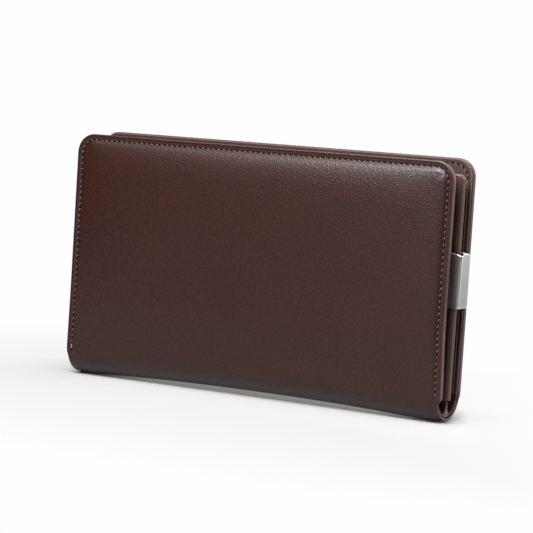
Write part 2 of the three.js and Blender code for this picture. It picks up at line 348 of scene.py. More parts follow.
def steel_material(name, colour):
    """Satin steel, brushed along the clip's height, with faint cloudy handling marks and a painted highlight
    along its rims.
    """
    material, nodes, shader = new_material(name)
    millimetres = nodes.flat_place()
    drawn = nodes.add("ShaderNodeMapping", {"Vector": millimetres, "Scale": (14, 0.35, 14)}).outputs[0]
    brush = nodes.noise(drawn, 1.0, 4.0)
    cloud = nodes.noise(millimetres, 0.16, 3.0)
    base = nodes.mix(nodes.ramp(brush, 0.3, 0.7), rgba(colour, 0.93), rgba(colour, 1.05))
    base = nodes.mix(nodes.ramp(cloud, 0.45, 0.75, 0.0, 0.3), base, rgba(colour, 0.88))
    # Paler where the tone is above nought: a painted highlight along the clip's rims.
    base = nodes.mix(nodes.ramp(nodes.tone(), 0.0, 1.0), base, rgba(colour, 1.5))
    brushed = nodes.ramp(brush, 0.3, 0.7, 0.28, 0.32)
    gloss = nodes.maths("ADD", brushed, nodes.ramp(cloud, 0.4, 0.8, 0.0, 0.06))
    bump = nodes.add("ShaderNodeBump", {"Strength": 0.2, "Distance": 0.0005 * MM, "Height": brush})
    connect(nodes, shader, Base_Color=base, Roughness=gloss, Normal=bump.outputs[0])
    shader.inputs["Metallic"].default_value = 1.0
    return material


def fibre_material(name, colour, grain, roughness):
    """Pressed board or open foam: a mottled matte surface with pits of the given size."""
    material, nodes, shader = new_material(name)
    millimetres = nodes.scaled(nodes.add("ShaderNodeTexCoord").outputs["Object"], 1 / MM)
    pits = nodes.add("ShaderNodeTexVoronoi", {"Vector": millimetres, "Scale": 1 / grain}).outputs["Distance"]
    fleck = nodes.noise(millimetres, 0.7 / grain, 5.0)
    base = nodes.mix(nodes.ramp(fleck, 0.35, 0.65), rgba(colour, 0.75), rgba(colour, 1.15))
    bump = nodes.add("ShaderNodeBump", {"Strength": 0.7, "Distance": grain * 0.2 * MM, "Height": pits})
    connect(nodes, shader, Base_Color=base, Normal=bump.outputs[0])
    shader.inputs["Roughness"].default_value = roughness
    return material


HIDE_COLOUR = (0.0215, 0.0050, 0.0031)
MATERIALS = {
    "outer_leather": leather(
        "pebbled_leather", HIDE_COLOUR, cell=0.8, relief=0.055, roughness=0.33, specular=0.33,
        wear_and_highlight=linear(90, 66, 60), variation=0.05,
    ),
    "inner_leather": leather(
        "smooth_leather", linear(64, 39, 32), cell=0.5, relief=0.03, roughness=0.42, specular=0.35,
        wear_and_highlight=linear(100, 72, 63),
    ),
    "lining": leather(
        "lining_leather", linear(54, 34, 28), cell=0.45, relief=0.03, roughness=0.5, specular=0.3,
        wear_and_highlight=linear(96, 70, 62),
    ),
    "thread": thread_material("brown_thread", linear(84, 60, 51)),
    "tan_thread": thread_material("tan_thread", linear(132, 90, 54)),
    # Near black on the needle holes: painted shade in the holes.
    "needle_hole_shade": leather("needle_hole_shade", linear(11, 6, 6), relief=0.01, roughness=0.8, specular=0.1),
    "steel": steel_material("satin_steel", (0.60, 0.585, 0.595)),
    "board": fibre_material("fibre_board", linear(150, 136, 116), 0.8, 0.9),
    "foam": fibre_material("open_foam", linear(92, 86, 82), 0.5, 0.95),
}


def dress(piece, look):
    piece.data.materials.clear()
    piece.data.materials.append(MATERIALS[look])
    return piece


# ---------------------------------------------------------------- camera, floor and light

CAMERA_AZIMUTH = math.radians(27.53)
CAMERA_ELEVATION = math.radians(4.74)
CAMERA_ROLL = math.radians(3.67)
CAMERA_DISTANCE = 0.984
CAMERA_AIM = Vector((0, 0, 0.0611))
SENSOR = 36
FOCAL_LENGTH = 141.9
HALF_PIXEL = 0.5 / 533  # as a share of the frame


def make_camera():
    azimuth, elevation = CAMERA_AZIMUTH, CAMERA_ELEVATION
    back = Vector((
        math.sin(azimuth) * math.cos(elevation),
        -math.cos(azimuth) * math.cos(elevation),
        math.sin(elevation),
    ))
    right = Vector((math.cos(azimuth), math.sin(azimuth), 0))
    up = back.cross(right)
    across = right * math.cos(CAMERA_ROLL) + up * math.sin(CAMERA_ROLL)
    upwards = up * math.cos(CAMERA_ROLL) - right * math.sin(CAMERA_ROLL)
    data = bpy.data.cameras.new("camera")
    data.lens = FOCAL_LENGTH
    data.sensor_width = SENSOR
    data.shift_x = -HALF_PIXEL
    data.shift_y = HALF_PIXEL
    data.clip_start = 0.01
    camera = bpy.data.objects.new("camera", data)
    turn = Matrix((across, upwards, back)).transposed().to_4x4()
    camera.matrix_world = Matrix.Translation(CAMERA_AIM + back * CAMERA_DISTANCE) @ turn
    bpy.context.scene.collection.objects.link(camera)
    bpy.context.scene.camera = camera


def area_light(name, place, aim, width, height, power):
    data = bpy.data.lights.new(name, "AREA")
    data.shape = "RECTANGLE"
    data.size, data.size_y = width, height
    data.energy = power
    light = bpy.data.objects.new(name, data)
    light.location = place
    light.rotation_euler = (Vector(aim) - Vector(place)).to_track_quat("-Z", "Y").to_euler()
    light.visible_camera = False
    bpy.context.scene.collection.objects.link(light)


WHITE = 0.992
# How brightly the floor glows close to the wallet: less than white, as painted shade round it.
SHADED_GLOW = 0.885
FLOOR_RADIUS = 0.42
FLOOR_SIDES = 96
FLOOR_DROP = 0.05 * MM
FLOOR_RIGHT = (0.887, 0.462, 0)  # along the floor, past the wallet's open end
PAST_END = (0.085, 0.097)  # where the floor begins to glow beyond that end


def make_floor():
    """A round table just below the wallet. It is matte round the wallet's foot, where the shadow
    lies, and further away it glows an even white; nearer the wallet its glow is dimmer, painted
    shade, and past the open end and under the spine's middle it glows close in, painted light."""
    angles = np.linspace(0, 2 * math.pi, FLOOR_SIDES, endpoint=False)
    points = [(FLOOR_RADIUS * math.cos(a), FLOOR_RADIUS * math.sin(a), -FLOOR_DROP) for a in angles]
    mesh = bpy.data.meshes.new("floor")
    mesh.from_pydata(points, [], [tuple(range(FLOOR_SIDES))])
    floor = bpy.data.objects.new("floor", mesh)
    material, nodes, shader = new_material("pale_floor")
    place = nodes.add("ShaderNodeTexCoord").outputs["Object"]
    base = nodes.mix(nodes.noise(place, 9.0, 3.0), (0.31, 0.31, 0.31, 1), (0.33, 0.33, 0.33, 1))
    connect(nodes, shader, Base_Color=base)
    shader.inputs["Roughness"].default_value = 0.6
    shader.inputs["Specular IOR Level"].default_value = 0.1
    off_centre = nodes.vector("ABSOLUTE", place)
    outside = nodes.vector("MAXIMUM", nodes.vector("SUBTRACT", off_centre, (HALF_WIDTH, BEND, 0)))
    away = nodes.vector("LENGTH", outside, output="Value")
    rightwards = nodes.vector("DOT_PRODUCT", place, FLOOR_RIGHT, "Value")
    # The glow is brighter past the open end and further from the wallet than close to it: painted shade
    # round the wallet.
    beside = nodes.ramp(rightwards, 0.02, 0.145, SHADED_GLOW, WHITE)
    strength = nodes.maths("MAXIMUM", beside, nodes.ramp(away, 0.03, 0.19, SHADED_GLOW, WHITE))
    glow = nodes.add("ShaderNodeEmission", {"Color": (1, 1, 1, 1), "Strength": strength})
    along = nodes.add("ShaderNodeSeparateXYZ", {0: off_centre}).outputs[0]
    # Past the open end the floor glows even close to the wallet: painted light over the shadow that would
    # fall there.
    past_end = nodes.ramp(rightwards, *PAST_END, 0.0, 0.9)
    # Under the middle of the wallet's length some glow is kept: painted light on the floor seen under the
    # bowed spine.
    least = nodes.maths("MAXIMUM", nodes.ramp(along, 0.06, HALF_WIDTH, 0.17, 0.0), past_end)
    limits = {0: away, 1: 0.003, 2: 0.05, 3: least, 4: 1.0}
    share = nodes.add("ShaderNodeMapRange", limits, interpolation_type="SMOOTHSTEP")
    blend = nodes.add("ShaderNodeMixShader", {0: share.outputs[0], 1: shader.outputs[0], 2: glow.outputs[0]})
    output = nodes.tree.nodes["Material Output"]
    nodes.tree.links.new(blend.outputs[0], output.inputs[0])
    mesh.materials.append(material)
    bpy.context.scene.collection.objects.link(floor)


def make_world():
    """White where it is looked at, and dim where it lights the wallet."""
    world = bpy.data.worlds.new("studio")
    world.use_nodes = True
    tree = world.node_tree
    tree.nodes.clear()
    nodes = Nodes(tree)
    looked_at = nodes.add("ShaderNodeLightPath").outputs["Is Camera Ray"]
    strength = nodes.ramp(looked_at, 0, 1, 0.03, WHITE)
    background = nodes.add("ShaderNodeBackground", {"Color": (1, 1, 1, 1), "Strength": strength})
    output = nodes.add("ShaderNodeOutputWorld")
    tree.links.new(background.outputs[0], output.inputs[0])
    bpy.context.scene.world = world


def make_lights():
    area_light("top_softbox", (0.0, -0.30, 0.85), (0, 0, 0.05), 0.9, 0.6, 8)
    area_light("sheen_card", (0.03, -0.50, 0.58), (0.09, 0, 0.1), 0.36, 0.40, 16)
    area_light("back_card", (0.25, 1.35, 0.55), (0, 0, 0.1), 1.9, 1.2, 12)
    area_light("right_card", (0.95, 0.30, 0.35), (0.05, 0, 0.06), 0.5, 0.7, 5)


make_camera()
make_floor()
make_world()
make_lights()
bpy.context.scene.view_settings.view_transform = "Standard"

# ---------------------------------------------------------------- covers

EDGE_LINES = np.array([
    0, 0.12, 0.3, 0.6, 1.0, 1.5, 1.9, 2.15, 2.4, 2.6, 2.8,
    3.0, 3.25, 3.5, 3.8, 4.2, 4.7, 5.4, 6.3, 7.4, 8.8, 10.4,
]) * MM
COVER_STEP = 1.7 * MM
BEND_STEP = 0.9 * MM


def rim_place(s):
    """Where the rim surface is, a distance s along it from the middle of the spine: its distance
    out from the middle plane, its height, and its outward direction."""
    angle = np.clip(s / BEND, 0, math.pi / 2)
    straight = np.maximum(s - QUARTER, 0)
    out = BEND * np.sin(angle)
    height = BEND * (1 - np.cos(angle)) + straight
    return out, height, np.sin(angle), -np.cos(angle)


def spine_bow(x, height):
    """How far the foot of the wallet is lifted off the table, between its two ends and at the tips
    of the spine, where the leather curls up."""
    along = np.clip(np.abs(x - MIDDLE_X) / (HALF_WIDTH * SPINE_BOWED), 0, 1)
    curl = SPINE_CURL * smooth(HALF_WIDTH - 5 * MM, HALF_WIDTH, np.abs(x - MIDDLE_X))
    return (SPINE_LIFT * (1 - along**2.2) + curl) * (1 - smooth(0, 20 * MM, height))


def end_pinch(x, height):
    """How much narrower the spine is at its tips, as a share."""
    at_tip = smooth(HALF_WIDTH - 8 * MM, HALF_WIDTH, np.abs(x - MIDDLE_X))
    return SPINE_PINCH * at_tip * (1 - smooth(8 * MM, 13 * MM, height))


def corner_shift(from_side, from_top, radius):
    """How far outwards and upwards each point of a grid moves, where its square corners are drawn
    in to round ones. Neither is above nought."""
    a, b = np.clip(1 - from_side / radius, 0, 1), np.clip(1 - from_top / radius, 0, 1)
    in_corner = (a > 0) & (b > 0)
    scale = np.maximum(a, b) / np.maximum(np.hypot(a, b), 1e-9)
    move_out = np.where(in_corner, (a * scale - a) * radius, 0)
    move_up = np.where(in_corner, (b * scale - b) * radius, 0)
    return move_out, move_up


def rounded_corners(x, height, cover, inset):
    """Draws the square top corners of a cover's grid in to round ones."""
    radius = max(cover.corner - inset, 0.5 * MM)
    from_side, from_top = HALF_WIDTH - inset - np.abs(x - MIDDLE_X), cover.top - inset - height
    move_x, move_z = corner_shift(from_side, from_top, radius)
    return x + np.sign(x - MIDDLE_X) * move_x, height + move_z


def wrapped_grid(cover, inset):
    """The lines of a sheet that runs from the middle of the spine up one cover: its x, its distance
    along the hide, and how far each point is in from the cover's edge."""
    x_lines = graded(LEFT + inset, RIGHT - inset, EDGE_LINES, COVER_STEP)
    top = cover.reach - inset
    bend_end = QUARTER + 3 * MM
    bend = np.linspace(0, bend_end, int(bend_end / BEND_STEP) + 1)
    rise = graded(bend_end, top, EDGE_LINES, COVER_STEP)
    rise = rise[rise > bend_end + 20 * MM]
    ramp = np.linspace(bend_end, rise[0], int((rise[0] - bend_end) / COVER_STEP) + 1)[1:-1]
    s_lines = np.concatenate([bend, ramp, rise])
    x, s = np.meshgrid(x_lines, s_lines, indexing="ij")
    sides = np.minimum(x - LEFT - inset, RIGHT - inset - x)
    edge = np.minimum(sides, top - s)
    return x, s, edge


LEFT_FLARE, LEFT_RECESS = 0.35, 0.15  # how much of each is seen at the left end, as a share


def spread_foot(cover, x, height):
    """Where x is, once a cover's foot has flared and the spine under it is set in."""
    own = smooth(0, 5 * MM, height)
    recess = (own * cover.recess + (1 - own) * MIDDLE_RECESS) * (1 - smooth(*NOTCH, height))
    flare = cover.flare * (1 - smooth(12 * MM, 45 * MM, height)) * smooth(*NOTCH, height)
    flare = flare * np.where(x > MIDDLE_X, 1.0, LEFT_FLARE)
    recess = recess * np.where(x > MIDDLE_X, 1.0, LEFT_RECESS)
    return MIDDLE_X + (x - MIDDLE_X) * (1 + (flare - recess) / HALF_WIDTH)


def wrapped_place(cover, x, s, inset, depth):
    """The points of a sheet, each a depth below the rim surface."""
    out, height, out_y, out_z = rim_place(s)
    x_round, z_round = rounded_corners(spread_foot(cover, x, height), height, cover, inset)
    lifted = z_round - depth * out_z + spine_bow(x, height)
    across = (out - depth * out_y) * (1 - end_pinch(x, height))
    return np.stack([x_round, cover.side * across, lifted], axis=-1)


# ---------------------------------------------------------------- padding

SWELL_CELL = 4 * MM
SWELL_RAW = 13 * MM  # the bulge, before it is levelled off at the crown's height
SWELL_FRAMES = 20
PADDING_FOOT = 3 * MM


def blown_sheet(width, height):
    """The bulge of a limp sheet sewn down all round and blown out from behind, by cloth simulation:
    a grid of heights, 1 at the highest."""
    columns, rows = round(width / SWELL_CELL) + 1, round(height / SWELL_CELL) + 1
    across, up = np.meshgrid(np.linspace(0, width, columns), np.linspace(0, height, rows), indexing="ij")
    points = np.stack([across, 0 * up, up], axis=-1).reshape(-1, 3)
    mesh = bpy.data.meshes.new("swell")
    mesh.from_pydata(points.tolist(), [], quads(columns, rows))
    sheet = bpy.data.objects.new("swell", mesh)
    bpy.context.scene.collection.objects.link(sheet)
    sewn = sheet.vertex_groups.new(name="sewn")
    border = (across == 0) | (across == width) | (up == 0) | (up == height)
    sewn.add(np.flatnonzero(border.ravel()).tolist(), 1.0, "REPLACE")
    cloth = sheet.modifiers.new("cloth", "CLOTH").settings
    cloth.effector_weights.gravity = 0
    cloth.vertex_group_mass = "sewn"
    cloth.use_pressure = True
    cloth.uniform_pressure_force = 4
    cloth.tension_stiffness = cloth.compression_stiffness = 6
    for n in range(1, SWELL_FRAMES + 1):
        bpy.context.scene.frame_set(n)
    blown = sheet.evaluated_get(bpy.context.evaluated_depsgraph_get()).to_mesh()
    moved = np.array([v.co.y for v in blown.vertices]).reshape(columns, rows)
    bpy.context.scene.frame_set(1)
    bpy.data.objects.remove(sheet)
    return np.abs(moved) / max(np.abs(moved).max(), 1e-9)


def sampled(grid, u, v):
    """A grid's value at u, v, each from 0 to 1."""
    columns, rows = grid.shape
    a, b = np.clip(u, 0, 1) * (columns - 1), np.clip(v, 0, 1) * (rows - 1)
    i, j = np.minimum(a.astype(int), columns - 2), np.minimum(b.astype(int), rows - 2)
    a, b = a - i, b - j
    low = grid[i, j] * (1 - b) + grid[i, j + 1] * b
    high = grid[i + 1, j] * (1 - b) + grid[i + 1, j + 1] * b
    return low * (1 - a) + high * a


SWELL = blown_sheet(2 * HALF_WIDTH - 2 * TURNED_RIM, FRONT.top - TURNED_RIM - PADDING_FOOT)


def crown(cover, x, height):
    """How far the padding pushes the hide out from the rim."""
    sides = np.minimum(x - LEFT, RIGHT - x) - TURNED_RIM
    top = cover.top - height - TURNED_RIM
    u = (x - LEFT - TURNED_RIM) / (2 * HALF_WIDTH - 2 * TURNED_RIM)
    v = (height - PADDING_FOOT) / (cover.top - TURNED_RIM - PADDING_FOOT)
    swell = CROWN * (1 - np.exp(-SWELL_RAW * sampled(SWELL, u, v) / CROWN))
    tuck = SEAM_TUCK * (1 - np.exp(-np.maximum(np.minimum(sides, top), 0) / TUCK_WIDTH))
    return (swell + tuck) * smooth(0, CROWN_FOOT, height)


def fold_edge(edge, radius):
    """How far a sheet's face falls away within a radius of its edge."""
    t = np.clip(1 - edge / radius, 0, 1)
    return radius * (1 - np.sqrt(1 - t * t))


def seam_share(height):
    """1 where the seam of a cover runs, and 0 below its foot."""
    return smooth(SEAM_FOOT - 5 * MM, SEAM_FOOT + 1 * MM, height)


def make_hide(cover):
    x, s, edge = wrapped_grid(cover, 0)
    height = rim_place(s)[1]
    seam_on = seam_share(height)
    groove = GROOVE * hump(SEAM_INSET, GROOVE_WIDTH, edge) * seam_on
    crease = CREASE * hump(CREASE_INSET, 0.22 * MM, edge) * smooth(*NOTCH, height)
    padding = crown(cover, x, height)
    outer_depth = groove + crease - padding + fold_edge(edge, EDGE_ROUND)
    turned = 1 - smooth(TURNED_RIM, TURNED_RIM + 0.6 * MM, edge)
    thick = HIDE + (HIDE_AT_RIM - HIDE) * smooth(*NOTCH, height) * turned
    inner_depth = thick - padding * (1 - turned) - fold_edge(edge, EDGE_ROUND)
    outer = wrapped_place(cover, x, s, 0, outer_depth)
    inner = wrapped_place(cover, x, s, 0, inner_depth)
    flat = np.stack([x, s * cover.side, np.zeros_like(x)], axis=-1)
    # Painted light on the hide: a paler very edge, wear and painted highlight, a painted highlight on the
    # flat margin outside the seam, and painted shade in the seam's groove and in the crease.
    rim_light = 0.4 * (1 - smooth(0.05 * MM, 0.4 * MM, edge))
    margin_painted_light = 0.12 * smooth(1.1 * MM, 1.4 * MM, edge) * (1 - smooth(1.9 * MM, 2.3 * MM, edge)) * seam_on
    shadow = -0.6 * hump(SEAM_INSET, 0.55 * MM, edge) * seam_on
    crease_shadow = -0.5 * hump(CREASE_INSET, 0.25 * MM, edge) * smooth(*NOTCH, height)
    tone = rim_light + margin_painted_light + shadow + crease_shadow
    hide = shell(f"{cover.label}_hide", outer, inner, flat, tone)
    dress(hide, "outer_leather")
    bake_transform(hide)
    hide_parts(f"{cover.label}_outer_leather", "spine_leather")


LINING_INSET = 0.35 * MM
LINING_ROUND = 0.25 * MM
LINING_PULL = 0.14 * MM  # how far the seam draws it in
LINING_GROOVE = 0.1 * MM  # how deep the stitches lie in it


def make_lining(cover):
    x, s, edge = wrapped_grid(cover, LINING_INSET)
    height = rim_place(s)[1]
    under_cover = HIDE_AT_RIM + LAYER_GAP
    depth = LINING_UNDER_SPINE + (under_cover - LINING_UNDER_SPINE) * smooth(*NOTCH, height)
    seam_on = seam_share(height)
    seam = SEAM_INSET - LINING_INSET
    pull = LINING_PULL * hump(seam, 0.6 * MM, edge) * seam_on
    fall = fold_edge(edge, LINING_ROUND)
    outer = wrapped_place(cover, x, s, LINING_INSET, depth + fall)
    inner = wrapped_place(cover, x, s, LINING_INSET, depth + LINING - pull - fall)
    flat = np.stack([x, s * cover.side + 1, np.zeros_like(x)], axis=-1)
    # Paler along its edge, wear and painted highlight, and darker along the seam, painted shade.
    tone = 0.85 * (1 - smooth(0.1 * MM, 0.5 * MM, edge)) - 0.4 * hump(seam, 0.5 * MM, edge) * seam_on
    lining = shell(f"{cover.label}_inner_lining", outer, inner, flat, tone)
    dress(lining, "lining")
    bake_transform(lining)
    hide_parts(f"{cover.label}_lining", "spine_lining")


for cover in (FRONT, REAR):
    make_hide(cover)
    make_lining(cover)

# ---------------------------------------------------------------- flat panels

PANEL_EDGES = np.array([0, 0.1, 0.3, 0.7, 1.2, 1.7, 2.2, 2.8, 4.0]) * MM
PANEL_STEP = 4 * MM
PANEL_CORNER = 2.5 * MM
PANEL_CREASE = 2.0 * MM  # from the top edge down to the creased line
PANEL_SAG = 0.03 * MM


def make_panel(name, node, side):
    """A leather panel on a cover's inside, in the place of a CAD node: soft edges, a creased line
    under its top edge and a slight sag. Its face looks towards the page."""
    low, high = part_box(node)
    x_lines = graded(low.x, high.x, PANEL_EDGES, PANEL_STEP)
    z_lines = graded(low.z, high.z, PANEL_EDGES, PANEL_STEP)
    x, z = np.meshgrid(x_lines, z_lines, indexing="ij")
    edge_x, edge_top = np.minimum(x - low.x, high.x - x), high.z - z
    edge = np.minimum(np.minimum(edge_x, edge_top), z - low.z)
    move_x, move_z = corner_shift(edge_x, edge_top, PANEL_CORNER)
    x_round, z_round = x + move_x * np.sign(x - MIDDLE_X), z + move_z
    face_y, back_y = (high.y, low.y) if side < 0 else (low.y, high.y)
    line = 0.1 * MM * hump(PANEL_CREASE, 0.22 * MM, edge_top)
    wave = np.abs(np.sin(x * 41 + z * 17) * np.sin(z * 53 - x * 9)) * smooth(0, 12 * MM, edge)
    fall = fold_edge(edge, (high.y - low.y) / 2)
    face = np.stack([x_round, face_y + side * (fall + line + PANEL_SAG * wave), z_round], axis=-1)
    back = np.stack([x_round, back_y - side * fall, z_round], axis=-1)
    flat = np.stack([x, z + low.y * 90, np.zeros_like(x)], axis=-1)
    # Paler along its edges, wear and painted highlight, and darker along the creased line, painted shade.
    tone = 0.75 * (1 - smooth(0.1 * MM, 0.5 * MM, edge)) - 0.5 * hump(PANEL_CREASE, 0.3 * MM, edge_top)
    panel = shell(name, face, back, flat, tone)
    dress(panel, "inner_leather")
    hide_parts(node)
    return panel


SLOTS = {"front": 3, "rear": 2}
for cover in (FRONT, REAR):
    pocket = make_panel(f"{cover.label}_pocket", f"{cover.label}_note_pocket", cover.side)
    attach(pocket, cover.body)
    for k in range(SLOTS[cover.label]):
        slot = make_panel(f"{cover.label}_slot_{k + 1}", f"{cover.label}_card_slot_{k + 1}", cover.side)
        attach(slot, cover.body)

# ---------------------------------------------------------------- stitches

STITCH_SIDES = 8
STITCH_RINGS = 9


def stitch_template(length, radius, dip):
    """One stitch along +X, arched over +Z, with its ends gone down into their holes."""
    points = []
    for k in range(STITCH_RINGS):
        t = -1 + 2 * k / (STITCH_RINGS - 1)
        across = radius * math.sqrt(max(1 - abs(t) ** 5, 0.03))
        for m in range(STITCH_SIDES):
            angle = 2 * math.pi * m / STITCH_SIDES
            rise = radius * STITCH_ARCH - dip * t**4 + across * STITCH_FLATTENED * math.sin(angle)
            points.append((t * length / 2, across * math.cos(angle), rise))
    faces = []
    for k in range(STITCH_RINGS - 1):
        for m in range(STITCH_SIDES):
            a, b = k * STITCH_SIDES + m, k * STITCH_SIDES + (m + 1) % STITCH_SIDES
            faces.append((a, b, b + STITCH_SIDES, a + STITCH_SIDES))
    faces.append(tuple(range(STITCH_SIDES))[::-1])
    last = (STITCH_RINGS - 1) * STITCH_SIDES
    faces.append(tuple(last + m for m in range(STITCH_SIDES)))
    return np.array(points), faces


def hole_template():
    """A needle hole: a dark slit, painted shade in the hole, whose ends rise with the walls of the groove.
    """
    rings, sides = 3, 10
    points, faces = [(0, 0, 0)], []
    for k in range(1, rings + 1):
        share = k / rings
        for m in range(sides):
            angle = 2 * math.pi * m / sides
            x, y = share * HOLE_LENGTH / 2 * math.cos(angle), share * HOLE_WIDTH / 2 * math.sin(angle)
            points.append((x, y, HOLE_RISE * (share * math.cos(angle)) ** 2))
    under = len(points)
    points += [(x, y, z - HOLE_SKIN) for x, y, z in points]
    for m in range(sides):
        n = (m + 1) % sides
        faces.append((0, 1 + m, 1 + n))
        faces.append((under, under + 1 + n, under + 1 + m))
        for k in range(rings - 1):
            a, b = 1 + k * sides + m, 1 + k * sides + n
            faces.append((a, a + sides, b + sides, b))
            faces.append((under + a, under + b, under + b + sides, under + a + sides))
        a, b = 1 + (rings - 1) * sides + m, 1 + (rings - 1) * sides + n
        faces.append((a, under + a, under + b, b))
    return np.array(points), faces


def repeat(name, template, places):
    """Copies of a template, each at (centre, along, up), as one mesh."""
    points, faces = template
    all_points, all_flats, all_faces = [], [], []
    for n, (centre, along, up) in enumerate(places):
        along, up = np.array(along, float), np.array(up, float)
        turn = np.stack([along, np.cross(up, along), up], axis=1)
        all_points.append(points @ turn.T + np.array(centre))
        all_flats.append(points + np.array([n * 5 * MM, 0, 0]))
        all_faces += [tuple(n * len(points) + v for v in face) for face in faces]
    return mesh_object(name, np.concatenate(all_points), all_faces, np.concatenate(all_flats), sharp=60)


class SeamLine:
    """A seam up one side, round a corner, along the top, round a corner and down: places by their
    distance along it, as (x, z, direction)."""

    def __init__(self, left, right, foot, top, corner):
        self.left, self.right, self.foot, self.top, self.corner = left, right, foot, top, corner
        self.side = top - corner - foot
        self.turn = corner * math.pi / 2
        self.across = right - left - 2 * corner
        self.length = 2 * self.side + 2 * self.turn + self.across

    def at(self, distance):
        r = self.corner
        if distance < self.side:
            return self.left, self.foot + distance, math.pi / 2
        distance -= self.side
        if distance < self.turn:
            a = distance / r
            return self.left + r * (1 - math.cos(a)), self.top - r * (1 - math.sin(a)), math.pi / 2 - a
        distance -= self.turn
        if distance < self.across:
            return self.left + r + distance, self.top, 0.0
        distance -= self.across
        if distance < self.turn:
            a = distance / r
            return self.right - r * (1 - math.sin(a)), self.top - r * (1 - math.cos(a)), -a
        distance -= self.turn
        return self.right, self.top - r - distance, -math.pi / 2

    def stations(self, offset):
        """Places a stitch apart, the first an offset of that pitch along the line."""
        count = int(round(self.length / STITCH_PITCH))
        return [self.at((k + offset) * self.length / count) for k in range(count)]


def on_cover(cover, x, z):
    """A place on a cover's rim, once the cover has flared and bowed."""
    return float(spread_foot(cover, x, z)), z + float(spine_bow(x, z))


def sew(name, line, y, facing, cover=None):
    """Stitches along a line on a face at y that looks along facing (-1 or +1), with their holes. On
    a cover they follow its flare and its bow."""

    def place(x, z, direction, slant, lift):
        angle = direction + slant * (1 if facing < 0 else -1)
        if cover:
            x, z = on_cover(cover, x, z)
        return (x, y + facing * lift, z), (math.cos(angle), 0, math.sin(angle)), (0, facing, 0)

    stitches = [place(*station, -STITCH_SLANT, STITCH_LIFT) for station in line.stations(0.5)]
    thread = repeat(name, stitch_template(STITCH_LENGTH, STITCH_RADIUS, STITCH_DIP), stitches)
    dress(thread, "thread")
    dots = [place(*station, -HOLE_SLANT, HOLE_LIFT) for station in line.stations(0.0)]
    holes = repeat(name + "_holes", hole_template(), dots)
    dress(holes, "needle_hole_shade")
    return thread, holes


TAN_START = 1.6 * MM
TAN_LENGTH = 2.4 * MM
TAN_RADIUS = 0.34 * MM
TAN_DIP = 0.3 * MM
TAN_LIFT = 0.1 * MM


def make_tan_stitch(line, y):
    """The waxed tan end of the thread, over the first stitch at the lower left."""
    x, z, direction = line.at(TAN_START)
    x, z = on_cover(FRONT, x, z)
    along = (math.cos(direction), 0, math.sin(direction))
    template = stitch_template(TAN_LENGTH, TAN_RADIUS, TAN_DIP)
    stitch = repeat("tan_stitch", template, [((x, y - TAN_LIFT, z), along, (0, -1, 0))])
    dress(stitch, "tan_thread")
    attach(stitch, FRONT.body)


for cover in (FRONT, REAR):
    line = SeamLine(
        LEFT + SEAM_INSET, RIGHT - SEAM_INSET, SEAM_FOOT, cover.top - SEAM_INSET, cover.corner - SEAM_INSET,
    )
    outside = cover.side * (RIM - GROOVE)
    thread, holes = sew(f"{cover.label}_stitches", line, outside, cover.side, cover)
    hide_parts(f"{cover.label}_seam_thread")
    if cover is FRONT:
        make_tan_stitch(line, outside)
    inside = cover.side * (RIM - HIDE_AT_RIM - LAYER_GAP - LINING + LINING_GROOVE)
    inner_thread, inner_holes = sew(f"{cover.label}_lining_stitches", line, inside, -cover.side, cover)
    for piece in (thread, holes, inner_thread, inner_holes):
        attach(piece, cover.body)

# ---------------------------------------------------------------- the page

PAGE_LOW, PAGE_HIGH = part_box("page_sleeve")
PAGE_MIDDLE = (PAGE_LOW.y + PAGE_HIGH.y) / 2
PAGE_HALF = (PAGE_HIGH.y - PAGE_LOW.y) / 2
PAGE_WALL = 0.9 * MM
PAGE_SEAM = 4.6 * MM
PAGE_PINCH = 0.45 * MM  # how far its seam draws it in
PAGE_PUFF = 0.15 * MM
PAGE_GROOVE = 0.4 * MM
PAGE_CORNER = 1.6 * MM
PAGE_LINES = np.array([0, 0.1, 0.3, 0.6, 1.2, 2, 3, 3.6, 4, 4.4, 5.2, 7]) * MM
PAGE_SIDE_LINES = np.array([0, 0.4, 0.9, 1.3, 1.6, 2.1, 2.8, 4, 6]) * MM
FOLD_STEPS = 12


def page_loop():
    """The page's section seen from above, anticlockwise from the left end of its front face: for
    each point, the x of the middle line that it stands off from, and its outward direction."""
    reach = HALF_WIDTH - PAGE_HALF
    face = graded(MIDDLE_X - reach, MIDDLE_X + reach, PAGE_SIDE_LINES, PANEL_STEP)

    def fold(x, start):
        angles = [start + math.pi * k / FOLD_STEPS for k in range(1, FOLD_STEPS)]
        return [(x, math.cos(angle), math.sin(angle)) for angle in angles]

    points = [(x, 0.0, -1.0) for x in face]
    points += fold(MIDDLE_X + reach, -math.pi / 2)
    points += [(x, 0.0, 1.0) for x in face[::-1]]
    points += fold(MIDDLE_X - reach, math.pi / 2)
    return np.array(points).T


